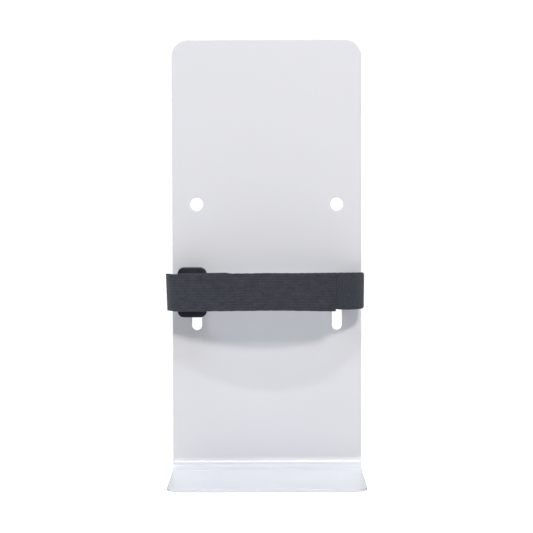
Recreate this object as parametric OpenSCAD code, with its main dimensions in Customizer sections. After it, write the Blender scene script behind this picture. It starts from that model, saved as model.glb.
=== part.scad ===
// Wall bracket that holds a small oxygen cylinder: one bent sheet makes the back plate and the
// shelf, and a 25 mm elastic cinch strap runs behind the plate and out through two upright slots.
// Origin: midway between the two wall screw holes, on the back face. +Z is up, +Y is into the wall.

/* [Back plate and shelf] */
// Width of the plate and of the shelf
plate_w = 135; // [130:1:160]
// Height of the plate's top edge above the wall screw holes
plate_rise = 117; // [60:1:180]
// Drop from the wall screw holes to the underside of the shelf
shelf_drop = 191.5; // [150:0.5:260]
// Depth of the shelf from the wall to its front edge
shelf_depth = 108; // [80:0.5:140]
// Thickness of the sheet
sheet_t = 2; // [1.2:0.1:2]
// Inner radius of the bend between the plate and the shelf
bend_r = 10; // [4:1:14]
// Radius of the two upper corners and of the shelf's two front corners
corner_r = 12; // [4:1:24]

/* [Wall screw holes] */
// Distance between the two holes
hole_spacing = 100; // [70:1:110]
// Diameter of each hole
hole_d = 9.4; // [5:0.1:12]

/* [Strap slots] */
// Distance of each slot from the plate's centre line
slot_x = 50; // [49.5:0.1:50.5]
// Width of a slot
slot_w = 7; // [6.8:0.1:8]
// Length of a slot from end to end
slot_len = 41; // [41:1:60]
// Drop from the wall screw holes to the upper end of the slots
slot_top_drop = 49; // [40:0.1:60]

/* [Elastic strap] */
// Width of the webbing
web_w = 25.4; // [20:0.1:25.4]
// Thickness of the webbing
web_t = 1.6; // [1.2:0.1:1.7]
// Distance from the upper end of a slot to the strap's upper edge
web_headroom = 1; // [1:0.1:2]
// Half of the loop's width on the buckle side, to the middle of the webbing
loop_half_w = 67.5; // [66:0.5:72]
// Half of the loop's width on the plain side, to the middle of the webbing
plain_half_w = 66.8; // [66:0.1:72]
// Depth of the loop from the wall to the middle of the webbing
loop_depth = 54.5; // [52:0.5:60]
// Radius of the loop's long front curve
front_r = 110; // [106:1:120]
// Radius of the loop where it turns on the plain side
plain_side_r = 17; // [14:0.5:18]
// Radius of the loop where it turns on the buckle side
buckle_side_r = 11.5; // [10:0.1:11.8]
// Angle at which the loop rises from the plate
loop_rise = 2.8; // [0:0.1:4]
// Length of the sewn overlap behind the plate
overlap_len = 20; // [14:1:30]

/* [Hook and loop] */
// Thickness of the hook patch and of the loop tape
pile_t = 1; // [0.8:0.1:1.2]
// Width of the hook patch and of the loop tape
pile_w = 24; // [16:0.5:24]
// Distance from the centre line to the root of the peeling tail
tail_root = 8; // [6:1:14]
// Distance from the centre line to the cut end of the tail
tail_end = 47.6; // [40:0.1:52]

/* [Slide buckle] */
// Width of the buckle across its three bars
buckle_w = 20.7; // [20:0.1:22]
// Height of the buckle
buckle_h = 35.7; // [34:0.1:40]
// Thickness of the buckle's two end rails
buckle_t = 4; // [3.4:0.1:5]
// Diameter of each bar
bar_d = 3.2; // [2.8:0.1:3.4]
// Distance from the plate's centre line to the middle bar
buckle_x = 53.1; // [52:0.1:53.5]
// Distance from the wall to the middle bar
buckle_y = 11; // [10:0.5:12]

/* [Stitching] */
// Width and height of a row of thread
thread = 0.25; // [0.2:0.05:0.3]
// Distance from a row of thread to the edge of what it sews down
seam = 2; // [1:0.5:3]

/* [Hidden] */
$fa = 2;
$fs = 0.4;

// Running gaps
play = 0.3;          // between two parts that move against each other
lay = 0.2;           // between two layers of webbing lying together
back_gap = 0.6;      // between the plate's back face and the strap
sewn = 0.03;         // between two layers that are sewn together

// Heights
strap_z = -slot_top_drop - web_headroom - web_w / 2;
slot_low = -slot_top_drop - slot_len + slot_w / 2;
slot_high = -slot_top_drop - slot_w / 2;

// Everything in front of this line, close to the plate, rises at loop_rise
rise_y = -sheet_t - 2.5;
rise_lap = web_w / 2 * sin(loop_rise) + 0.05;

// Centres that the webbing turns about, seen from above
pitch = web_t + lay;
wrap_r = bar_d / 2 + play + web_t / 2;
back_y = back_gap + web_t / 2;
slot_turn_r = 3;
slot_turn = [-slot_x + slot_turn_r + pitch / 2 + 0.25, back_y - slot_turn_r];
bar = [-buckle_x, -buckle_y];
bar_step = [(buckle_w - bar_d) / 2, 0];
front = [0, front_r - loop_depth];
plain_side = side_centre(plain_side_r, plain_half_w);
buckle_side = mirror_x(side_centre(buckle_side_r, loop_half_w));
plain_turn_r = 4;
plain_turn = [slot_x - 3.9, back_y - plain_turn_r];

// The tail lies on the loop tape, so it starts where the outer layer has been lifted over it
tail_r = front_r + web_t + 2 * (pile_t + sewn) + play;
lift_r = 40;
lift = front + [0, lift_r - tail_r];
tape_r = (web_t + pile_t) / 2 + sewn;
root_turn = asin(tail_root / tail_r);
end_turn = asin(tail_end / tail_r);
root_gap = 0.2;
seam_r = (web_t + thread) / 2 + sewn;

// A turn is [centre, radius], with a minus sign on the radius where the webbing turns clockwise
inner_path = [
    [[slot_turn.x + overlap_len, slot_turn.y + slot_turn_r + pitch], 0],
    [slot_turn, slot_turn_r + pitch],
    [bar, wrap_r],
    [slot_turn, -slot_turn_r],
    [plain_turn, -plain_turn_r],
    [plain_side, -plain_side_r],
    [front, -front_r],
    [buckle_side, -buckle_side_r],
    [bar - bar_step, wrap_r],
    [buckle_side, buckle_side_r + pitch],
    [front, front_r + pitch],
    [lift, lift_r],
    [front, tail_r]
];

function side_centre(r, half_w) =
    [half_w - r, front.y - sqrt(pow(front_r - r, 2) - pow(half_w - r, 2))];
function mirror_x(p) = [-p.x, p.y];
function wrap(a) = a + 0.001 - 360 * floor((a + 0.001) / 360) - 0.001;
// Direction of the straight run from one turn to the next
function heading(a, b) =
    let (d = b[0] - a[0])
    atan2(d.y, d.x) + asin(max(-1, min(1, (a[1] - b[1]) / norm(d))));
// Point where webbing heading in direction h touches a turn
function touch(turn, h) = turn[0] + turn[1] * [sin(h), -cos(h)];

// Angle between the points that stand for an arc of this radius
function arc_step(r) = 2 * acos(1 - 0.01 / max(r, 0.5));
function turned(h1, h2, side) = side * wrap(side * (h2 - h1));
// One edge of the webbing, at a distance off to the left of its middle line
function edge(path, way, off) = [
    for (i = [0:len(path) - 1])
        let (sweep = turned(way[i], way[i + 1], sign(path[i][1])),
             steps = ceil(abs(sweep) / arc_step(abs(path[i][1])) - 0.01))
        for (k = [0:steps])
            touch([path[i][0], path[i][1] - off], way[i] + (steps == 0 ? 0 : sweep * k / steps))
];
function distinct(points) =
    [for (i = [0:len(points) - 1]) if (i == 0 || norm(points[i] - points[i - 1]) > 0.005) points[i]];
function reversed(list) = [for (i = [len(list) - 1:-1:0]) list[i]];

// Webbing along a path, from heading h_start on the first turn to heading h_end on the last
module web(path, h_start, h_end, t = web_t) {
    runs = [for (i = [0:1:len(path) - 2]) heading(path[i], path[i + 1])];
    way = concat([h_start], runs, [h_end]);
    polygon(concat(distinct(edge(path, way, t / 2)), reversed(distinct(edge(path, way, -t / 2)))));
}

// Places what is drawn at the height of the strap's middle line on the rising part of the loop
module risen() {
    translate([0, rise_y, strap_z]) rotate([-loop_rise, 0, 0]) translate([0, -rise_y, 0]) children();
}

// Webbing of height h drawn in plan, level through the slots and rising in front of them
module strap_solid(h) {
    reach = 2 * plate_w;
    translate([0, 0, strap_z - h / 2]) linear_extrude(h) intersection() {
        children();
        translate([-reach, rise_y]) square([2 * reach, reach]);
    }
    risen() translate([0, 0, -h / 2]) linear_extrude(h) intersection() {
        children();
        translate([-reach, rise_y + rise_lap - reach]) square([2 * reach, reach]);
    }
}

// Band of height h around the front of the loop, with its middle z above the strap's middle
module loop_solid(h, z = 0) {
    risen() translate([0, 0, z - h / 2]) linear_extrude(h) children();
}

// Outline with two rounded corners at its far end
module tongue(w, len, r) {
    square([w, 2 * (len - r)], center = true);
    for (side = [-1, 1]) translate([side * (w / 2 - r), len - r]) circle(r);
    translate([-w / 2 + r, 0]) square([w - 2 * r, len]);
}

module back_plate() {
    bend_out = bend_r + sheet_t;
    color("#e4e5ea") difference() {
        union() {
            translate([0, 0, bend_out - shelf_drop]) rotate([90, 0, 0]) linear_extrude(sheet_t)
                intersection() {
                    tongue(plate_w, plate_rise + shelf_drop - bend_out, corner_r);
                    translate([-plate_w / 2, 0]) square([plate_w, plate_rise + shelf_drop]);
                }
            translate([0, -bend_out, -shelf_drop]) linear_extrude(sheet_t) mirror([0, 1])
                intersection() {
                    tongue(plate_w, shelf_depth - bend_out, corner_r);
                    translate([-plate_w / 2, 0]) square([plate_w, shelf_depth]);
                }
            translate([-plate_w / 2, -bend_out, bend_out - shelf_drop]) rotate([90, 0, 90])
                linear_extrude(plate_w) intersection() {
                    difference() {
                        circle(bend_out);
                        circle(bend_r);
                    }
                    translate([0, -bend_out]) square(bend_out);
                }
        }
        for (side = [-1, 1]) {
            translate([side * hole_spacing / 2, 1, 0]) rotate([90, 0, 0]) cylinder(d = hole_d, h = sheet_t + 2);
            translate([side * slot_x, 1, 0]) rotate([90, 0, 0]) linear_extrude(sheet_t + 2) {
                for (z = [slot_low, slot_high]) translate([0, z]) circle(d = slot_w);
                translate([-slot_w / 2, slot_low]) square([slot_w, slot_high - slot_low]);
            }
        }
    }
}

module strap_band() {
    color("#3d4047") strap_solid(web_w) web(inner_path, 180, root_turn - root_gap);
}

// The free end beyond its root, which peels off the loop tape
module strap_tail() {
    color("#41444b") loop_solid(web_w) web([[front, tail_r]], root_turn, end_turn);
}

module loop_tape() {
    color("#3a3d43") loop_solid(pile_w)
        web([[plain_side, -plain_side_r - tape_r], [front, -front_r - tape_r]], -60, -178, pile_t);
}

module hook_patch() {
    color("#33363c") loop_solid(pile_w)
        web([[front, tail_r - tape_r]], root_turn + 1, end_turn - 0.5, pile_t);
}

module slide_buckle() {
    window = web_w + 2 * play;
    rail = (buckle_h - window) / 2;
    round_r = 4.6;
    color("#2b2e34") risen() translate([bar.x, bar.y, 0]) {
        difference() {
            rotate([90, 0, 0]) linear_extrude(buckle_t, center = true) {
                square([buckle_w, buckle_h - 2 * round_r], center = true);
                square([buckle_w - 2 * round_r, buckle_h], center = true);
                for (x = [-1, 1], z = [-1, 1])
                    translate([x * (buckle_w / 2 - round_r), z * (buckle_h / 2 - round_r)]) circle(round_r);
            }
            cube([buckle_w + 1, buckle_t + 1, window], center = true);
        }
        for (i = [-1, 0, 1])
            translate([i * bar_step.x, 0, -window / 2 - rail / 2]) cylinder(d = bar_d, h = window + rail);
    }
}

// Closed seam around a strip that is sewn down along the loop; the last turn is its far end
module seam_box(path, h_start, h_end, height) {
    nip = sign(path[0][1]) * thread / abs(path[0][1]) * 180 / PI;
    tuck = sign(path[0][1]) * thread / abs(path[len(path) - 1][1]) * 180 / PI;
    for (side = [-1, 1]) loop_solid(thread, side * (height - thread) / 2) web(path, h_start, h_end, thread);
    loop_solid(height) {
        web([path[0]], h_start, h_start + nip, thread);
        web([path[len(path) - 1]], h_end - tuck, h_end, thread);
    }
}

// Box with a cross through the sewn overlap, on both of its faces
module end_stitching() {
    box_w = overlap_len - 2 * seam;
    box_h = web_w - 2 * seam;
    outer_y = back_gap + web_t + pitch;
    color("#34373d") for (y = [back_gap, outer_y + thread])
        translate([slot_turn.x + overlap_len / 2, y, strap_z]) rotate([90, 0, 0]) linear_extrude(thread) {
            difference() {
                square([box_w, box_h], center = true);
                square([box_w - 2 * thread, box_h - 2 * thread], center = true);
            }
            intersection() {
                square([box_w, box_h], center = true);
                for (side = [-1, 1]) rotate(side * atan2(box_h, box_w)) square([2 * box_h, thread], center = true);
            }
        }
}

// Seam of the loop tape, on the inner face of the webbing
module loop_stitching() {
    color("#34373d") seam_box([[plain_side, seam_r - plain_side_r], [front, seam_r - front_r]],
        -62, -177, pile_w - 2 * seam);
}

// Seam of the hook patch, on the outer face of the tail
module patch_stitching() {
    color("#393c42") seam_box([[front, tail_r + seam_r]], root_turn + 2, end_turn - 1.4, pile_w - 2 * seam);
}

back_plate();
strap_band();
strap_tail();
loop_tape();
hook_patch();
slide_buckle();
end_stitching();
loop_stitching();
patch_stitching();
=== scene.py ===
import math

import bmesh
import bpy
import numpy as np
from mathutils import Matrix, Vector


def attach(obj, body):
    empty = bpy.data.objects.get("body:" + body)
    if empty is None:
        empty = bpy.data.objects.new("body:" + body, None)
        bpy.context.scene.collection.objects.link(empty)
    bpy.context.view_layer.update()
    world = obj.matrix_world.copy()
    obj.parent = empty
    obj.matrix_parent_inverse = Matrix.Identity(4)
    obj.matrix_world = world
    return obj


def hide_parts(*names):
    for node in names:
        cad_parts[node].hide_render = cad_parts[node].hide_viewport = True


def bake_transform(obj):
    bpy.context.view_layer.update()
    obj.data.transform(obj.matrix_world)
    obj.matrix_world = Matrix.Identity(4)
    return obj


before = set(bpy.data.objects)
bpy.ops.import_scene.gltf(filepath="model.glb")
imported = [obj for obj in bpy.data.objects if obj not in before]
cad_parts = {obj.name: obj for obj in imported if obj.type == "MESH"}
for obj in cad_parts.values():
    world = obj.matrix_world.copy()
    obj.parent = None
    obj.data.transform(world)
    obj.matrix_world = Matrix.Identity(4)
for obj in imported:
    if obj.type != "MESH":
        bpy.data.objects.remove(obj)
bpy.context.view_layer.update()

# Sizes are in millimetres until a mesh is made. They repeat the part's own values.
MM = 0.001

PLATE_W, PLATE_TOP, SHELF_UNDERSIDE, SHELF_DEPTH = 135.0, 117.0, -191.5, 108.0
SHEET_T, BEND_R, CORNER_R = 2.0, 10.0, 12.0
HOLE_X, HOLE_R = 50.0, 4.7
SLOT_X, SLOT_R, SLOT_LOW_Z, SLOT_HIGH_Z = 50.0, 3.5, -86.5, -52.5
EDGE_ROUND, BEND_CUTS, FLAT_GRID = 0.35, 91, 12.0

# The outer layer of webbing, WEB_W, is a little wider than the inner one.
WEB_W, INNER_W, WEB_T, WEB_GAP = 26.0, 25.4, 1.6, 0.2
PITCH = WEB_T + WEB_GAP
RIBS, RIB_DEPTH, SELVEDGE = 13, 0.08, 0.45
RIB_PITCH = (WEB_W - 2 * SELVEDGE) / RIBS

# In front of RISE_Y the loop slopes up by RISE; behind it the strap is level, in the slots.
STRAP_Z, RISE_Y, RISE_BLEND, RISE = -62.7, -4.5, 2.0, math.radians(2.8)
LOOP_HALF_W, PLAIN_HALF_W = 67.5, 66.8
FRONT_R, PLAIN_SIDE_R, BUCKLE_SIDE_R = 110.0, 17.0, 11.5
FRONT = (0.0, 55.5)
SLOT_TURN, SLOT_TURN_R = (-45.85, -1.6), 3.0
OVERLAP_LEN, SEAM = 20.0, 2.0
PLAIN_TURN, PLAIN_TURN_R = (46.1, -2.6), 4.0
BAR, BAR_R, BAR_STEP, WRAP_R = (-53.1, -11.0), 1.6, 8.75, 2.7
BACK_GAP = 0.6
TAIL_R, LIFT_R = 113.96, 40.0
ROOT_TURN, END_TURN = math.radians(4.0255), math.radians(24.689)

# Hook-and-loop: the loop tape runs between two headings, in degrees, and PATCH_W is the hooks' tape.
SEWN, PATCH_W, HOOK_GAP, HOOK_R = 0.03, 24.0, 1.35, 0.085
PILE_T, PILE_BASE_T, TUFT, FLUFF = 1.0, 0.36, 0.16, 0.07
TAPE_W, TAPE_EDGE, TAPE_UP, TAPE_FROM, TAPE_TO = 25.2, 0.7, 0.1, -60, -178

BUCKLE_W, BUCKLE_H, BUCKLE_T, BUCKLE_WINDOW, BUCKLE_ROUND = 20.7, 35.7, 4.0, 25.8, 4.6
RAIL_ROUND, BAR_INTO_RAIL, BUCKLE_VOXEL = 0.9, 1.5, 0.2

# A stitch is a short thread whose ends dip into the webbing, as DIP gives along it.
STITCH, STITCH_GAP, THREAD_R, SEAM_INSET, THREAD_SINK = 2.3, 0.45, 0.15, 0.2, 0.02
DIP = np.array([-0.28, -0.12, -0.03, 0.0, -0.03, -0.12, -0.28])

# The loop hangs a little crooked: how much higher it is in the middle, and again on the plain side.
CROOKED_MIDDLE, CROOKED_SIDE, CROOKED_FROM, CROOKED_OVER = 0.25, 0.75, 8.0, 15.0
FOLD_LEAN, FOLD_RISE, PLAIN_LEAN, RIDE_UP = 1.0, 0.7, 0.35, 1.0
TAIL_SLIP, SLIP_START, SLIP_END = 1.3, -4.0, 47.6

# Length along the loose end from the root of the tail, in millimetres; peels() finds the point there, in
# metres, but doesn't use it.
PEEL_LEN = 11.0


# ---------------------------------------------------------------- the path of the webbing, in plan

def side_centre(side, half_w, r):
    """Centre of a side turn of the loop, where it runs on smoothly from the front."""
    x = half_w - r
    return side * x, FRONT[1] - math.sqrt((FRONT_R - r) ** 2 - x ** 2)


PLAIN_SIDE = side_centre(1, PLAIN_HALF_W, PLAIN_SIDE_R)
BUCKLE_SIDE = side_centre(-1, LOOP_HALF_W, BUCKLE_SIDE_R)

# A turn is (x, y, radius), with a minus sign on the radius where the webbing turns clockwise.
SEWN_END = (SLOT_TURN[0] + OVERLAP_LEN, SLOT_TURN[1] + SLOT_TURN_R + PITCH, 0.0)
TO_BUCKLE = [SEWN_END, (*SLOT_TURN, SLOT_TURN_R + PITCH), (*BAR, WRAP_R), (*SLOT_TURN, -SLOT_TURN_R),
             (*PLAIN_TURN, -PLAIN_TURN_R), (*PLAIN_SIDE, -PLAIN_SIDE_R), (*FRONT, -FRONT_R),
             (*BUCKLE_SIDE, -BUCKLE_SIDE_R), (BAR[0] - BAR_STEP, BAR[1], WRAP_R)]
FROM_BUCKLE = [TO_BUCKLE[-1], (*BUCKLE_SIDE, BUCKLE_SIDE_R + PITCH), (*FRONT, FRONT_R + PITCH),
               (FRONT[0], FRONT[1] + LIFT_R - TAIL_R, LIFT_R), (*FRONT, TAIL_R)]


def heading(a, b):
    """Direction of the straight run from one turn to the next."""
    dx, dy = b[0] - a[0], b[1] - a[1]
    return math.atan2(dy, dx) + math.asin((a[2] - b[2]) / math.hypot(dx, dy))


def trace(turns, first, last, step=0.9, turn_step=math.radians(7)):
    """Points (n, 2), headings (n) and lengths (n) along the middle line of webbing."""
    way = [first] + [heading(a, b) for a, b in zip(turns, turns[1:])] + [last]
    points, headings = [], []
    for i, (x, y, r) in enumerate(turns):
        side = math.copysign(1, r)
        sweep = side * ((side * (way[i + 1] - way[i]) + 0.001) % (2 * math.pi) - 0.001) if r else 0.0
        count = max(1, math.ceil(abs(sweep) / min(turn_step, step / max(abs(r), 1e-6)))) if r else 1
        arc = way[i] + np.linspace(0, sweep, count + 1)
        arc_points = np.stack([x + r * np.sin(arc), y - r * np.cos(arc)], 1)
        if points:
            start, end = points[-1][-1], arc_points[0]
            parts = int(np.linalg.norm(end - start) // step)
            run = np.linspace(start, end, parts + 2)[1:-1]
            points.append(run)
            headings.append(np.full(len(run), way[i]))
        points.append(arc_points)
        headings.append(arc)
    points, headings = np.concatenate(points), np.concatenate(headings)
    keep = np.r_[True, np.linalg.norm(np.diff(points, axis=0), axis=1) > 0.02]
    points, headings = points[keep], headings[keep]
    length = np.r_[0, np.cumsum(np.linalg.norm(np.diff(points, axis=0), axis=1))]
    return points, headings, length


def smooth(t):
    """0 up to t = 0 and 1 from t = 1, with a smooth step between."""
    t = np.clip(t, 0, 1)
    return t * t * (3 - 2 * t)


def grows(value, start, over):
    """The same step, from start on and over a length."""
    return smooth((value - start) / over)


def risen(x, y, z):
    """A point of the strap, drawn in plan at z from its middle line, on the level or rising part."""
    w = smooth((RISE_Y + RISE_BLEND / 2 - y) / RISE_BLEND)
    ahead = y - RISE_Y
    up_y = RISE_Y + ahead * math.cos(RISE) + z * math.sin(RISE)
    up_z = -ahead * math.sin(RISE) + z * math.cos(RISE)
    crooked = (CROOKED_MIDDLE + CROOKED_SIDE * x / LOOP_HALF_W) * grows(-y, CROOKED_FROM, CROOKED_OVER)
    return np.stack([x, y + w * (up_y - y), STRAP_Z + z + w * (up_z - z) + crooked], -1)


# ---------------------------------------------------------------- meshes

def new_object(name, verts, faces, mat, lay=None):
    """An object from points in millimetres. lay keeps (along, across, out) for the material."""
    mesh = bpy.data.meshes.new(name)
    mesh.from_pydata((np.asarray(verts, float) * MM).tolist(), [], [list(f) for f in faces])
    if lay is not None:
        data = mesh.attributes.new("lay", "FLOAT_VECTOR", "POINT").data
        data.foreach_set("vector", np.asarray(lay, np.float32).ravel())
    mesh.polygons.foreach_set("use_smooth", [True] * len(mesh.polygons))
    mesh.materials.append(mat)
    mesh.update()
    obj = bpy.data.objects.new(name, mesh)
    bpy.context.scene.collection.objects.link(obj)
    return obj


def tube_faces(rings, size):
    """Quads between rings of points, and a cap at either end."""
    i, j = np.meshgrid(np.arange(rings - 1), np.arange(size), indexing="ij")
    a, b = i * size + j, i * size + (j + 1) % size
    quads = np.stack([a, b, b + size, a + size], -1).reshape(-1, 4).tolist()
    return quads + [list(range(size))[::-1], [(rings - 1) * size + k for k in range(size)]]


def sweep(name, line, section, mat, shape=None):
    """Carries a closed section of (out, z) points along a line; shape(s, x, out, z) may move them."""
    points, headings, s = line
    out, z = (np.broadcast_to(c, (len(s), len(section))).copy() for c in np.array(section).T)
    along = np.broadcast_to(s[:, None], out.shape)
    lay = np.stack([along, z, out], -1)
    x = np.broadcast_to(points[:, 0][:, None], out.shape)
    dx = np.zeros_like(out)
    if shape:
        out, z, dx = shape(along, x, out, z)
    left = np.stack([-np.sin(headings), np.cos(headings)], 1)
    plan = points[:, None, :] + out[..., None] * left[:, None, :]
    verts = risen(plan[..., 0] + dx, plan[..., 1], z)
    return new_object(name, verts.reshape(-1, 3), tube_faces(*out.shape), mat, lay.reshape(-1, 3))


# ---------------------------------------------------------------- materials

class Nodes:
    """A Principled material; add() makes one node and returns it."""

    def __init__(self, name, **sockets):
        self.mat = bpy.data.materials.new(name)
        self.mat.use_nodes = True
        self.tree = self.mat.node_tree
        self.shader = self.tree.nodes["Principled BSDF"]
        self.put(self.shader, {k.replace("_", " "): v for k, v in sockets.items()})

    def put(self, node, inputs):
        for key, value in inputs.items():
            if isinstance(value, bpy.types.NodeSocket):
                self.tree.links.new(value, node.inputs[key])
            else:
                node.inputs[key].default_value = value

    def add(self, kind, inputs, **settings):
        node = self.tree.nodes.new("ShaderNode" + kind)
        for key, value in settings.items():
            setattr(node, key, value)
        self.put(node, inputs)
        return node

    def math(self, operation, a, b=0.0):
        return self.add("Math", {0: a, 1: b}, operation=operation).outputs[0]

    def lay(self):
        return self.add("Attribute", {}, attribute_name="lay").outputs["Vector"]

    def scaled(self, vector, scale):
        return self.add("Mapping", {"Vector": vector, "Scale": scale}).outputs[0]

    def noise(self, vector, scale, detail=3.0, roughness=0.55):
        inputs = {"Vector": vector, "Scale": scale, "Detail": detail, "Roughness": roughness}
        return self.add("TexNoise", inputs).outputs[0]

    def spread(self, value, low, high, start=0.3, end=0.7):
        inputs = {"Value": value, "From Min": start, "From Max": end, "To Min": low, "To Max": high}
        return self.add("MapRange", inputs).outputs[0]

    def ramp(self, value, low, high):
        node = self.add("ValToRGB", {0: value})
        node.color_ramp.elements[0].color = (*low, 1)
        node.color_ramp.elements[1].color = (*high, 1)
        return node.outputs[0]

    def bump(self, height, distance, strength=1.0, under=None):
        inputs = {"Height": height, "Distance": distance, "Strength": strength}
        if under is not None:
            inputs["Normal"] = under
        return self.add("Bump", inputs).outputs[0]

    def finish(self, **links):
        self.put(self.shader, {k.replace("_", " "): v for k, v in links.items()})
        return self.mat


def ripple(g, value, pitch):
    """0 to 1 and back once in every pitch."""
    wave = g.math("COSINE", g.math("MULTIPLY", value, 2 * math.pi / pitch))
    return g.add("Math", {0: wave, 1: 0.5, 2: 0.5}, operation="MULTIPLY_ADD").outputs[0]


def powder_coat():
    """Glossy white coat with a faint orange peel."""
    g = Nodes("white_powder_coat", Specular_IOR_Level=0.3, Coat_Weight=1.0, Coat_Roughness=0.06)
    at = g.add("TexCoord", {}).outputs["Object"]
    peel, speck = g.noise(at, 620, 2.0, 0.5), g.noise(at, 1900, 2.0)
    colour = g.ramp(speck, (0.755, 0.767, 0.813), (0.765, 0.777, 0.823))
    normal = g.bump(peel, 0.00001, 0.2)
    return g.finish(Base_Color=colour, Roughness=g.spread(speck, 0.29, 0.33), Normal=normal)


def elastic():
    """Black elastic: ribs along it, weft across it, and lighter flecks and patches of yarn."""
    g = Nodes("black_elastic", Specular_IOR_Level=0.3, Sheen_Weight=0.08, Sheen_Roughness=0.5)
    lay = g.lay()
    along, across, _ = g.add("SeparateXYZ", {0: lay}).outputs
    rib = ripple(g, across, RIB_PITCH)
    yarn = g.noise(g.scaled(lay, (0.5, 3.0, 1.0)), 1.0, 4.0, 0.65)
    weft = ripple(g, g.math("ADD", along, g.math("MULTIPLY", rib, 0.2)), 0.62)
    blotch = g.noise(g.scaled(lay, (0.16, 0.3, 0.2)), 1.0, 3.0)
    fleck = g.noise(g.scaled(lay, (1.0, 1.9, 1.0)), 1.0, 3.0, 0.7)
    tone = g.math("ADD", g.math("MULTIPLY", rib, 0.14), g.math("MULTIPLY", yarn, 0.6))
    tone = g.math("ADD", tone, g.math("MULTIPLY", weft, 0.12))
    tone = g.math("ADD", tone, g.spread(fleck, -0.3, 0.3))
    tone = g.math("ADD", tone, g.spread(blotch, -0.1, 0.12))
    colour = g.ramp(tone, (0.0105, 0.0125, 0.018), (0.063, 0.068, 0.088))
    height = g.math("ADD", g.math("MULTIPLY", weft, 0.5), yarn)
    return g.finish(Base_Color=colour, Roughness=g.spread(yarn, 0.62, 0.82),
                    Normal=g.bump(height, 0.00012, 0.7))


def loop_pile():
    """Soft black tufts."""
    g = Nodes("loop_pile", Specular_IOR_Level=0.2, Sheen_Weight=0.1, Sheen_Roughness=0.6)
    lay = g.lay()
    tuft = g.add("TexVoronoi", {"Vector": lay, "Scale": 1.5, "Randomness": 1.0}).outputs["Distance"]
    fuzz = g.noise(lay, 1.3, 4.0, 0.7)
    tone = g.math("ADD", g.spread(fuzz, 0.1, 1.0), g.math("MULTIPLY", tuft, -0.5))
    colour = g.ramp(g.math("ADD", tone, 0.2), (0.014, 0.017, 0.025), (0.060, 0.066, 0.087))
    height = g.math("SUBTRACT", fuzz, tuft)
    return g.finish(Base_Color=colour, Roughness=g.spread(fuzz, 0.78, 0.95),
                    Normal=g.bump(height, 0.0002, 0.8))


def hook_nylon():
    """Stiff black nylon, a little shinier than the webbing."""
    g = Nodes("hook_nylon", Specular_IOR_Level=0.4)
    lay = g.lay()
    grain = g.noise(lay, 2.2, 4.0, 0.6)
    colour = g.ramp(grain, (0.016, 0.018, 0.022), (0.045, 0.049, 0.057))
    return g.finish(Base_Color=colour, Roughness=g.spread(grain, 0.42, 0.6),
                    Normal=g.bump(grain, 0.00008, 0.6))


def moulded_plastic():
    """Satin black plastic with faint flow marks."""
    g = Nodes("black_plastic", Specular_IOR_Level=0.3)
    at = g.add("TexCoord", {}).outputs["Object"]
    grain = g.noise(at, 4200, 2.0)
    flow = g.noise(at, 130, 3.0)
    colour = g.ramp(flow, (0.013, 0.016, 0.025), (0.022, 0.026, 0.038))
    return g.finish(Base_Color=colour, Roughness=g.spread(flow, 0.26, 0.4),
                    Normal=g.bump(grain, 0.00002, 0.5))


def sewing_thread():
    """Black thread, its plies twisted round it."""
    g = Nodes("black_thread", Specular_IOR_Level=0.3, Sheen_Weight=0.08)
    along, around, _ = g.add("SeparateXYZ", {0: g.lay()}).outputs
    ply = ripple(g, g.math("ADD", along, g.math("MULTIPLY", around, 0.11)), 0.42)
    colour = g.ramp(ply, (0.012, 0.0145, 0.021), (0.050, 0.055, 0.071))
    return g.finish(Base_Color=colour, Roughness=g.spread(ply, 0.5, 0.66, 0, 1),
                    Normal=g.bump(ply, 0.00006, 0.8))


POWDER, ELASTIC, PILE = powder_coat(), elastic(), loop_pile()
HOOKS, PLASTIC, THREAD = hook_nylon(), moulded_plastic(), sewing_thread()


# ---------------------------------------------------------------- back plate and shelf

def arc_points(cx, cy, r, start, end, count=16):
    turn = np.radians(np.linspace(start, end, count + 1))
    return np.stack([cx + r * np.cos(turn), cy + r * np.sin(turn)], 1)


def flat_outlines(length):
    """The blank before it is bent, y up from the shelf's front edge: its edge, holes and slots."""
    x, r = PLATE_W / 2 - CORNER_R, CORNER_R
    edge = np.concatenate([arc_points(x, r, r, -90, 0), arc_points(x, length - r, r, 0, 90),
                           arc_points(-x, length - r, r, 90, 180), arc_points(-x, r, r, 180, 270)])
    drop = length - PLATE_TOP
    cuts = []
    for side in (-1, 1):
        cuts.append(arc_points(side * HOLE_X, drop, HOLE_R, 0, 360, 64)[:-1])
        cuts.append(np.concatenate([
            arc_points(side * SLOT_X, drop + SLOT_HIGH_Z, SLOT_R, 0, 180, 24),
            arc_points(side * SLOT_X, drop + SLOT_LOW_Z, SLOT_R, 180, 360, 24)]))
    return [edge] + cuts


def filled(outlines, thickness, edge_round, segments=2):
    """A mesh plate with rounded edges, in the XY plane, from closed outlines."""
    curve = bpy.data.curves.new("blank", "CURVE")
    curve.dimensions, curve.fill_mode = "2D", "BOTH"
    curve.extrude, curve.bevel_depth = thickness / 2 - edge_round, edge_round
    curve.bevel_resolution, curve.offset = segments, -edge_round
    for outline in outlines:
        spline = curve.splines.new("POLY")
        spline.points.add(len(outline) - 1)
        flat, weight = np.zeros(len(outline)), np.ones(len(outline))
        spline.points.foreach_set("co", np.c_[outline, flat, weight].ravel())
        spline.use_cyclic_u = True
    holder = bpy.data.objects.new("blank", curve)
    bpy.context.scene.collection.objects.link(holder)
    mesh = bpy.data.meshes.new_from_object(holder.evaluated_get(bpy.context.evaluated_depsgraph_get()))
    bpy.data.objects.remove(holder)
    bpy.data.curves.remove(curve)
    bm = bmesh.new()
    bm.from_mesh(mesh)
    bmesh.ops.remove_doubles(bm, verts=bm.verts, dist=1e-4)
    bpy.data.meshes.remove(mesh)
    return bm


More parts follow.
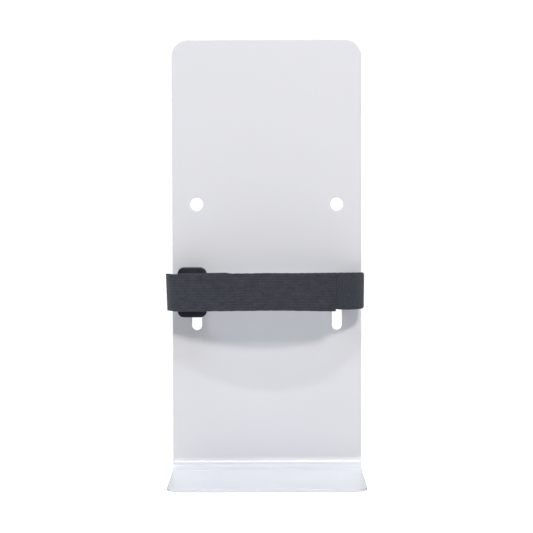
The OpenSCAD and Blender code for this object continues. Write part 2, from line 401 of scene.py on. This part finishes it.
def cut_across(bm, point, normal):
    """Adds edges where a plane crosses the mesh, so that it can bend or shade evenly there."""
    bmesh.ops.bisect_plane(bm, geom=bm.verts[:] + bm.edges[:] + bm.faces[:],
                           plane_co=point, plane_no=normal, dist=1e-5)


def back_plate():
    """The flat blank, cut into strips and then bent forward into the shelf."""
    mid_r = BEND_R + SHEET_T / 2
    bend_len = mid_r * math.pi / 2
    shelf = SHELF_DEPTH - BEND_R - SHEET_T
    wall = PLATE_TOP - SHELF_UNDERSIDE - BEND_R - SHEET_T
    bm = filled(flat_outlines(shelf + bend_len + wall), SHEET_T, EDGE_ROUND)
    in_bend = np.linspace(shelf, shelf + bend_len, BEND_CUTS)
    in_shelf = np.arange(FLAT_GRID, shelf, FLAT_GRID)
    in_wall = np.arange(shelf + bend_len + FLAT_GRID / 2, shelf + bend_len + wall, FLAT_GRID)
    for y in (*in_bend, *in_shelf, *in_wall):
        cut_across(bm, (0, y, 0), (0, 1, 0))
    for column in range(-5, 6):
        cut_across(bm, (column * FLAT_GRID, 0, 0), (1, 0, 0))
    centre_y, centre_z = -BEND_R - SHEET_T, SHELF_UNDERSIDE + BEND_R + SHEET_T
    for v in bm.verts:
        x, y, n = v.co
        if y < shelf:
            v.co = (x, centre_y - (shelf - y), SHELF_UNDERSIDE + SHEET_T / 2 + n)
        elif y > shelf + bend_len:
            v.co = (x, -SHEET_T / 2 - n, centre_z + y - shelf - bend_len)
        else:
            turn = (shelf + bend_len - y) / mid_r
            v.co = (x, centre_y + (mid_r - n) * math.cos(turn), centre_z - (mid_r - n) * math.sin(turn))
        v.co *= MM
    bmesh.ops.recalc_face_normals(bm, faces=bm.faces)
    mesh = bpy.data.meshes.new("plate_and_shelf")
    bm.to_mesh(mesh)
    bm.free()
    mesh.polygons.foreach_set("use_smooth", [True] * len(mesh.polygons))
    mesh.materials.append(POWDER)
    obj = bpy.data.objects.new("plate_and_shelf", mesh)
    bpy.context.scene.collection.objects.link(obj)
    weighted = obj.modifiers.new("flat_faces", "WEIGHTED_NORMAL")
    weighted.mode, weighted.weight = "FACE_AREA", 100
    return obj


# ---------------------------------------------------------------- webbing

def web_section(width, steps=6):
    """Ribbed webbing with round edges, from the lower edge up one face and down the other."""
    flat = width / 2 - SELVEDGE
    z = np.linspace(-flat, flat, RIBS * steps + 1)
    face = WEB_T / 2 - RIB_DEPTH * (0.5 + 0.5 * np.cos(2 * math.pi * z / RIB_PITCH))
    turn = np.radians(np.linspace(0, 180, 9))[1:-1]
    edge_out, edge_z = face[-1] * np.cos(turn), flat + SELVEDGE * np.sin(turn)
    out = np.concatenate([face, edge_out, -face[::-1], -edge_out])
    height = np.concatenate([z, edge_z, z[::-1], -edge_z])
    return np.stack([out, height], 1)


def edge_waver(s, z):
    """The slightly uneven selvedge of elastic."""
    rim = smooth((np.abs(z) - WEB_W / 2 + 3.0) / 3.0)
    top = 0.04 * np.sin(s * 0.9) + 0.03 * np.sin(s * 2.3 + 1.0) + 0.04 * np.sin(s * 0.31)
    low = 0.04 * np.sin(s * 0.8 + 2.0) + 0.03 * np.sin(s * 2.6) + 0.04 * np.sin(s * 0.37 + 1.0)
    return rim * np.where(z > 0, top, low)


def side_lean(x, z):
    """The plain side of the loop leans out a little at its upper edge."""
    return PLAIN_LEAN * grows(x, 48.0, 14.0) * z / WEB_W


def inner_shape(s, x, out, z):
    """The inner layer rides up a little next to the buckle."""
    ride_up = RIDE_UP * grows(-x, 20.0, 10.0) * grows(s, 150.0, 60.0) * grows(-s, -345.0, 20.0)
    return out, z + edge_waver(s, z) * 0.6 + ride_up, side_lean(x, z)


def tail_slip(x):
    """The outer layer slips down towards its free end."""
    return -TAIL_SLIP * grows(x, SLIP_START, 2 * (SLIP_END - SLIP_START)) * 2


def tail_shape(s, x, out, z):
    """What is sewn to the loose end slips down with it."""
    return out, z + tail_slip(x), np.zeros_like(z)


def outer_shape(s, x, out, z):
    """The outer layer leans out at its upper left corner, where it is also a little higher."""
    lean = -FOLD_LEAN * grows(-x, 56.0, 12.0) * (z / WEB_W + 0.5)
    higher = FOLD_RISE * grows(-x, 64.0, 4.0) * grows(s, 8.0, 12.0)
    return out, z + edge_waver(s, z) + tail_slip(x) + higher, lean


def webbing():
    """The inner layer, from the sewn end to the buckle, and the outer one back from it."""
    at_buckle = heading(TO_BUCKLE[-2], TO_BUCKLE[-1])
    inner = sweep("elastic_inner", trace(TO_BUCKLE, math.pi, at_buckle), web_section(INNER_W), ELASTIC,
                  inner_shape)
    outer = sweep("elastic_outer", trace(FROM_BUCKLE, at_buckle, END_TURN), web_section(WEB_W), ELASTIC,
                  outer_shape)
    return inner, outer


def tape_line(first, last, step=0.5):
    """The middle line of the webbing under the loop tape, between two headings in degrees."""
    turns = [(*PLAIN_SIDE, -PLAIN_SIDE_R), (*FRONT, -FRONT_R)]
    return trace(turns, math.radians(first), math.radians(last), step)


def pile_tape():
    """Tape with flat selvedges and a brushed, uneven pile, on the outer face of the inner layer."""
    half = TAPE_W / 2
    z = np.linspace(-half, half, 61)
    rim = np.abs(z) > half - TAPE_EDGE
    top = np.where(rim, PILE_BASE_T, PILE_T - TUFT)
    section = np.concatenate([np.stack([top, z], 1), [[0, half], [0, -half]]])
    section[:, 0] += WEB_T / 2 + SEWN
    brushed = np.r_[~rim, False, False]

    def shape(s, x, out, z):
        fluff = (np.sin(s * 3.1 + 2.0 * np.sin(z * 2.3)) * np.sin(z * 4.1 + 1.7 * np.sin(s * 1.9))
                 + 0.6 * np.sin(s * 6.7 + z * 5.3))
        waver = 0.08 * np.sin(s * 1.3) * (np.abs(z) > half - 0.1)
        return out + brushed * FLUFF * fluff, z + waver + TAPE_UP, side_lean(x, z)

    return sweep("loop_tape_pile", tape_line(TAPE_FROM, TAPE_TO), section, PILE, shape)


def along_line(line, s):
    """Plan position and heading at distance s along a line."""
    points, headings, length = line
    return (np.interp(s, length, points[:, 0]), np.interp(s, length, points[:, 1]),
            np.interp(s, length, headings))


def wires(name, mat, strands, radius, sides=6):
    """One object of many short bent wires, each a list of points; lay runs along each wire."""
    verts, faces, lay = [], [], []
    turn = np.linspace(0, 2 * math.pi, sides, endpoint=False)
    for strand in strands:
        p = np.asarray(strand, float)
        tangent = np.gradient(p, axis=0)
        tangent /= np.linalg.norm(tangent, axis=1)[:, None]
        ref = np.array([0, 0, 1.0]) if abs(tangent[0][2]) < 0.7 else np.array([1.0, 0, 0])
        u = np.cross(tangent, ref)
        u /= np.linalg.norm(u, axis=1)[:, None]
        v = np.cross(tangent, u)
        ring = u[:, None] * np.cos(turn)[None, :, None] + v[:, None] * np.sin(turn)[None, :, None]
        taper = np.r_[0.55, np.ones(len(p) - 2), 0.55][:, None, None]
        base = len(verts)
        verts.extend((p[:, None] + radius * taper * ring).reshape(-1, 3))
        faces.extend([[base + k for k in f] for f in tube_faces(len(p), sides)])
        s = np.r_[0, np.cumsum(np.linalg.norm(np.diff(p, axis=0), axis=1))]
        lay.extend(np.stack(np.broadcast_arrays(s[:, None], turn[None], 0.0), -1).reshape(-1, 3))
    return new_object(name, verts, faces, mat, lay)


def hook_strip():
    """Nylon tape on the inner face of the tail, with rows of small hooks bent along it."""
    half = PATCH_W / 2
    line = trace([(*FRONT, TAIL_R)], ROOT_TURN + math.radians(1), END_TURN - math.radians(0.5), 0.8)
    near = WEB_T / 2 + SEWN
    section = [[near, -half], [near + 0.3, -half], [near + 0.36, -half + 0.2],
               [near + 0.36, half - 0.2], [near + 0.3, half], [near, half]]
    strip = sweep("hook_patch_base", line, section, HOOKS, tail_shape)
    rows = np.arange(-half + 1.2, half - 1.1, HOOK_GAP)
    hooks = []
    for s0 in np.arange(0.9, line[2][-1] - 0.9, HOOK_GAP):
        for row, z0 in enumerate(rows):
            way = 1 if row % 2 else -1
            s = s0 + (HOOK_GAP / 2 if row % 2 else 0) + way * np.array([0, 0, 0.04, 0.2, 0.36, 0.38])
            rise = near + 0.2 + np.array([0, 0.34, 0.58, 0.70, 0.58, 0.42]) * 0.95
            x, y, h = along_line(line, np.clip(s, 0, line[2][-1]))
            px, py = x - rise * np.sin(h), y + rise * np.cos(h)
            z = np.full_like(px, z0)
            _, z, _ = tail_shape(s, px, rise, z)
            hooks.append(risen(px, py, z))
    return strip, wires("hook_patch_hooks", HOOKS, hooks, HOOK_R, 5)


# ---------------------------------------------------------------- stitching

def seam_stitches(start, end, face):
    """Stitches from start to end, both (along, z); face(along, z, lift) gives the point."""
    a, b = np.array(start, float), np.array(end, float)
    total = np.linalg.norm(b - a)
    count = max(1, round(total / (STITCH + STITCH_GAP)))
    pitch = total / count
    strands = []
    for k in range(count):
        t = (k * pitch + STITCH_GAP / 2 + np.linspace(0, pitch - STITCH_GAP, len(DIP))) / total
        at = a + t[:, None] * (b - a)
        strands.append(face(at[:, 0], at[:, 1], DIP))
    return strands


def box_stitches(low, high, half, face, cross=False):
    """Stitches round a box from low to high along the webbing, and a cross through it if asked."""
    corners = [(low, -half), (high, -half), (high, half), (low, half)]
    strands = []
    for p, q in zip(corners, corners[1:] + corners[:1]):
        strands += seam_stitches(p, q, face)
    if cross:
        strands += seam_stitches(corners[0], corners[2], face) + seam_stitches(corners[1], corners[3], face)
    return strands


def on_line(line, side, surface, shape=None):
    """Points on one face of webbing: side is 1 for its left face and -1 for its right one."""
    def face(s, z, lift):
        x, y, h = along_line(line, s)
        out = side * (surface + lift)
        px, py = x - out * np.sin(h), y + out * np.cos(h)
        if shape:
            _, z, _ = shape(s, px, out, z)
        return risen(px, py, z)
    return face


def stitching():
    """The seams of the loop tape, the hook patch and the sewn end."""
    half = PATCH_W / 2 - SEAM
    loop = tape_line(TAPE_FROM - 2, TAPE_TO + 1)
    tail = trace([(*FRONT, TAIL_R)], ROOT_TURN + math.radians(2), END_TURN - math.radians(1.4), 0.5)
    surface = WEB_T / 2 - THREAD_SINK

    def seam_round(name, line, shape=None):
        face = on_line(line, -1, surface, shape)
        strands = box_stitches(SEAM_INSET, line[2][-1] - SEAM_INSET, half, face)
        return wires(name, THREAD, strands, THREAD_R)

    loop_seam = seam_round("loop_tape_stitches", loop)
    tail_seam = seam_round("hook_patch_stitches", tail, tail_shape)
    middle = SLOT_TURN[0] + OVERLAP_LEN / 2
    reach, up = OVERLAP_LEN / 2 - SEAM, WEB_W / 2 - SEAM
    strands = []
    for y, out in ((BACK_GAP, -1), (BACK_GAP + PITCH + WEB_T, 1)):
        def face(s, z, lift, y=y, out=out):
            return np.stack([s, np.broadcast_to(y + out * lift, s.shape), STRAP_Z + z], -1)
        strands += box_stitches(middle - reach, middle + reach, up, face, cross=True)
    return loop_seam, tail_seam, wires("overlap_stitches", THREAD, strands, THREAD_R)


# ---------------------------------------------------------------- slide buckle

def buckle_rail(side):
    """Outline of one end rail, in the buckle's own plane."""
    w, top, low, r = BUCKLE_W / 2, BUCKLE_H / 2, BUCKLE_WINDOW / 2, BUCKLE_ROUND
    foot = [[-w + 0.02, low + 0.8], [-w + 0.8, low], [w - 0.8, low], [w - 0.02, low + 0.8]]
    outer = np.concatenate([foot, arc_points(w - r, top - r, r, 12, 90, 10),
                            arc_points(-w + r, top - r, r, 90, 168, 10)])
    return outer * [1, side] if side > 0 else (outer * [1, side])[::-1]


def slide_buckle():
    """Two rails and three bars, melted into one moulding."""
    bm = bmesh.new()
    for side in (-1, 1):
        rail = filled([buckle_rail(side)], BUCKLE_T, RAIL_ROUND, 4)
        mesh = bpy.data.meshes.new("rail")
        rail.to_mesh(mesh)
        rail.free()
        bm.from_mesh(mesh)
        bpy.data.meshes.remove(mesh)
    for i in (-1, 0, 1):
        place = Matrix.Translation((i * BAR_STEP, 0, 0)) @ Matrix.Rotation(math.pi / 2, 4, "X")
        bmesh.ops.create_cone(bm, cap_ends=True, segments=32, radius1=BAR_R, radius2=BAR_R,
                              depth=BUCKLE_WINDOW + 2 * BAR_INTO_RAIL, matrix=place)
    mesh = bpy.data.meshes.new("buckle")
    bm.to_mesh(mesh)
    bm.free()
    obj = bpy.data.objects.new("buckle", mesh)
    bpy.context.scene.collection.objects.link(obj)
    remesh = obj.modifiers.new("remesh", "REMESH")
    remesh.mode, remesh.voxel_size = "VOXEL", BUCKLE_VOXEL
    relax = obj.modifiers.new("relax", "SMOOTH")
    relax.factor, relax.iterations = 0.5, 4
    out = bpy.data.meshes.new_from_object(obj.evaluated_get(bpy.context.evaluated_depsgraph_get()))
    bpy.data.objects.remove(obj)
    co = np.empty(len(out.vertices) * 3)
    out.vertices.foreach_get("co", co)
    x, z, y = co.reshape(-1, 3).T
    faces = [tuple(p.vertices) for p in out.polygons]
    verts = risen(BAR[0] + x, BAR[1] - y, z)
    piece = new_object("slide_buckle_moulding", verts, faces, PLASTIC)
    bpy.data.meshes.remove(out)
    bm = bmesh.new()
    bm.from_mesh(piece.data)
    bmesh.ops.recalc_face_normals(bm, faces=bm.faces)
    bm.to_mesh(piece.data)
    bm.free()
    return piece


# ---------------------------------------------------------------- putting it together

def rides(obj, body, slot, *nodes):
    """A piece that moves with one body and stands in for the nodes."""
    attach(obj, body)
    if nodes:
        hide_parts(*nodes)


def peels(obj, slot, *nodes):
    """A piece of the tail, by the loose end that is peeled off: its transform is baked in and the nodes it
    stands for are hidden; the point at the end of the loose end is found but not used.
    """
    turn = ROOT_TURN + PEEL_LEN / TAIL_R
    end = risen(np.array(FRONT[0] + TAIL_R * math.sin(turn)), np.array(FRONT[1] - TAIL_R * math.cos(turn)),
                np.array(0.0)) * MM
    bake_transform(obj)
    if nodes:
        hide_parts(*nodes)


rides(back_plate(), "bracket", "white_powder_coat", "back_plate")
elastic_inner, elastic_outer = webbing()
rides(elastic_inner, "strap", "black_elastic", "strap_band")
peels(elastic_outer, "black_elastic", "strap_tail")
rides(pile_tape(), "strap", "loop_pile", "loop_tape")
hook_base, hook_rows = hook_strip()
peels(hook_base, "hook_nylon", "hook_patch")
peels(hook_rows, "hook_nylon")
rides(slide_buckle(), "strap", "black_plastic", "slide_buckle")
loop_seam, tail_seam, overlap_seam = stitching()
rides(loop_seam, "strap", "black_thread", "loop_stitching")
rides(overlap_seam, "strap", "black_thread", "end_stitching")
peels(tail_seam, "black_thread", "patch_stitching")


# ---------------------------------------------------------------- stage, lights and camera

# Metres, watts and degrees from here on.
COOL, WARM, SKY_TINT = (0.93, 0.99, 1.07), (1.05, 1.0, 0.95), (0.94, 0.98, 1.05, 1)
BACKDROP, BACKDROP_LIGHT, SKY_HIGH, SKY_LOW = 1.1, 0.58, 0.08, 0.03
KEY, TOP, OVERHEAD, CEILING, LOW, SIDE = 54.0, 7.5, 55.0, 12.0, 5.5, 14.0
FLOOR_HALF, FLOOR_DROP = 12000.0, 800.0
CAMERA_AT, CAMERA_LENS = Vector((0.0035, -1.5372, 0.0158)), 145.22
CAMERA_YAW, CAMERA_PITCH, CAMERA_ROLL = 0.00243, -0.03928, -0.00261
AIM = Vector((0, -0.02, -0.06))

def white_floor():
    """Its glow shows to the camera only, so that it stays white and doesn't light the object."""
    g = Nodes("floor", Roughness=0.9, Specular_IOR_Level=0.2)
    at = g.add("TexCoord", {}).outputs["Object"]
    g.finish(Base_Color=g.ramp(g.noise(at, 3.0, 2.0), (0.84, 0.84, 0.84), (0.88, 0.88, 0.88)),
             Emission_Strength=g.add("LightPath", {}).outputs["Is Camera Ray"])
    g.shader.inputs["Emission Color"].default_value = (1, 1, 1, 1)
    half, z = FLOOR_HALF, SHELF_UNDERSIDE - FLOOR_DROP
    corners = [(-half, -half, z), (half, -half, z), (half, half, z), (-half, half, z)]
    new_object("floor", corners, [(0, 1, 2, 3)], g.mat)


def soft_light(name, elevation, azimuth, distance, width, height, power, colour=(1, 1, 1), glossy=True):
    """A soft box aimed at the strap; azimuth 0 is straight in front, and positive to the right."""
    light = bpy.data.lights.new(name, "AREA")
    light.shape, light.size, light.size_y = "RECTANGLE", width, height
    light.energy, light.color = power, colour
    el, az = math.radians(elevation), math.radians(azimuth)
    way = Vector((math.cos(el) * math.sin(az), -math.cos(el) * math.cos(az), math.sin(el)))
    obj = bpy.data.objects.new(name, light)
    obj.location = AIM + way * distance
    obj.rotation_euler = (-way).to_track_quat("-Z", "Y").to_euler()
    obj.visible_camera, obj.visible_glossy = False, glossy
    bpy.context.scene.collection.objects.link(obj)


def studio():
    """White behind and all round to the camera; from in front a sky, brighter above, lights the object."""
    world = bpy.data.worlds.new("studio")
    bpy.context.scene.world = world
    world.use_nodes = True
    tree = world.node_tree
    tree.nodes.clear()

    def add(kind, **settings):
        node = tree.nodes.new("ShaderNode" + kind)
        for key, value in settings.items():
            setattr(node, key, value)
        return node

    path, mix, out = add("LightPath"), add("MixShader"), add("OutputWorld")
    behind, either = add("MapRange", interpolation_type="SMOOTHSTEP"), add("Math", operation="MAXIMUM")
    backdrop, sky, dimmed = add("Background"), add("Background"), add("MapRange")
    backdrop.inputs["Color"].default_value = (1, 1, 1, 1)
    dimmed.inputs["To Min"].default_value, dimmed.inputs["To Max"].default_value = BACKDROP_LIGHT, BACKDROP
    sky.inputs["Color"].default_value = SKY_TINT
    at, split = add("TexCoord"), add("SeparateXYZ")
    height = add("MapRange", interpolation_type="SMOOTHSTEP")
    for key, value in {"From Min": -0.15, "From Max": 0.15, "To Min": SKY_LOW, "To Max": SKY_HIGH}.items():
        height.inputs[key].default_value = value
    behind.inputs["From Min"].default_value, behind.inputs["From Max"].default_value = 0.0, 0.25
    for a, b in ((at.outputs["Generated"], split.inputs[0]), (split.outputs[2], height.inputs["Value"]),
                 (split.outputs[1], behind.inputs["Value"]), (behind.outputs[0], either.inputs[0]),
                 (path.outputs["Is Camera Ray"], either.inputs[1]), (either.outputs[0], mix.inputs[0]),
                 (path.outputs["Is Camera Ray"], dimmed.inputs["Value"]),
                 (dimmed.outputs[0], backdrop.inputs["Strength"]),
                 (height.outputs[0], sky.inputs["Strength"]),
                 (sky.outputs[0], mix.inputs[1]), (backdrop.outputs[0], mix.inputs[2]),
                 (mix.outputs[0], out.inputs["Surface"])):
        tree.links.new(a, b)
    soft_light("key", 26.0, 10, 3.6, 0.36, 0.36, KEY, WARM)
    soft_light("top", 46, 0, 2.4, 0.44, 0.08, TOP)
    soft_light("overhead", 81, 0, 3.0, 2.4, 1.6, OVERHEAD, COOL, glossy=False)
    soft_light("ceiling", 86, 0, 3.0, 2.4, 0.7, CEILING, COOL)
    soft_light("low", -10, -10, 2.4, 1.0, 0.5, LOW, WARM, glossy=False)
    soft_light("side", 4, -96, 2.4, 0.7, 1.0, SIDE, COOL)


def camera():
    """Looks slightly down from 1.5 m in front; rows of the turn are right, forward and up."""
    cy, sy = math.cos(CAMERA_YAW), math.sin(CAMERA_YAW)
    cp, sp = math.cos(CAMERA_PITCH), math.sin(CAMERA_PITCH)
    cr, sr = math.cos(CAMERA_ROLL), math.sin(CAMERA_ROLL)
    rolled = Matrix(((cr, 0, sr), (0, 1, 0), (-sr, 0, cr)))
    pitched = Matrix(((1, 0, 0), (0, cp, sp), (0, -sp, cp)))
    yawed = Matrix(((cy, sy, 0), (-sy, cy, 0), (0, 0, 1)))
    right, forward, up = rolled @ pitched @ yawed
    data = bpy.data.cameras.new("camera")
    data.lens, data.sensor_width = CAMERA_LENS, 36.0
    data.clip_start, data.clip_end = 0.05, 60.0
    obj = bpy.data.objects.new("camera", data)
    obj.matrix_world = Matrix.LocRotScale(CAMERA_AT, Matrix((right, up, -forward)).transposed(), None)
    bpy.context.scene.collection.objects.link(obj)
    bpy.context.scene.camera = obj


white_floor()
studio()
camera()
bpy.context.scene.view_settings.view_transform = "Standard"
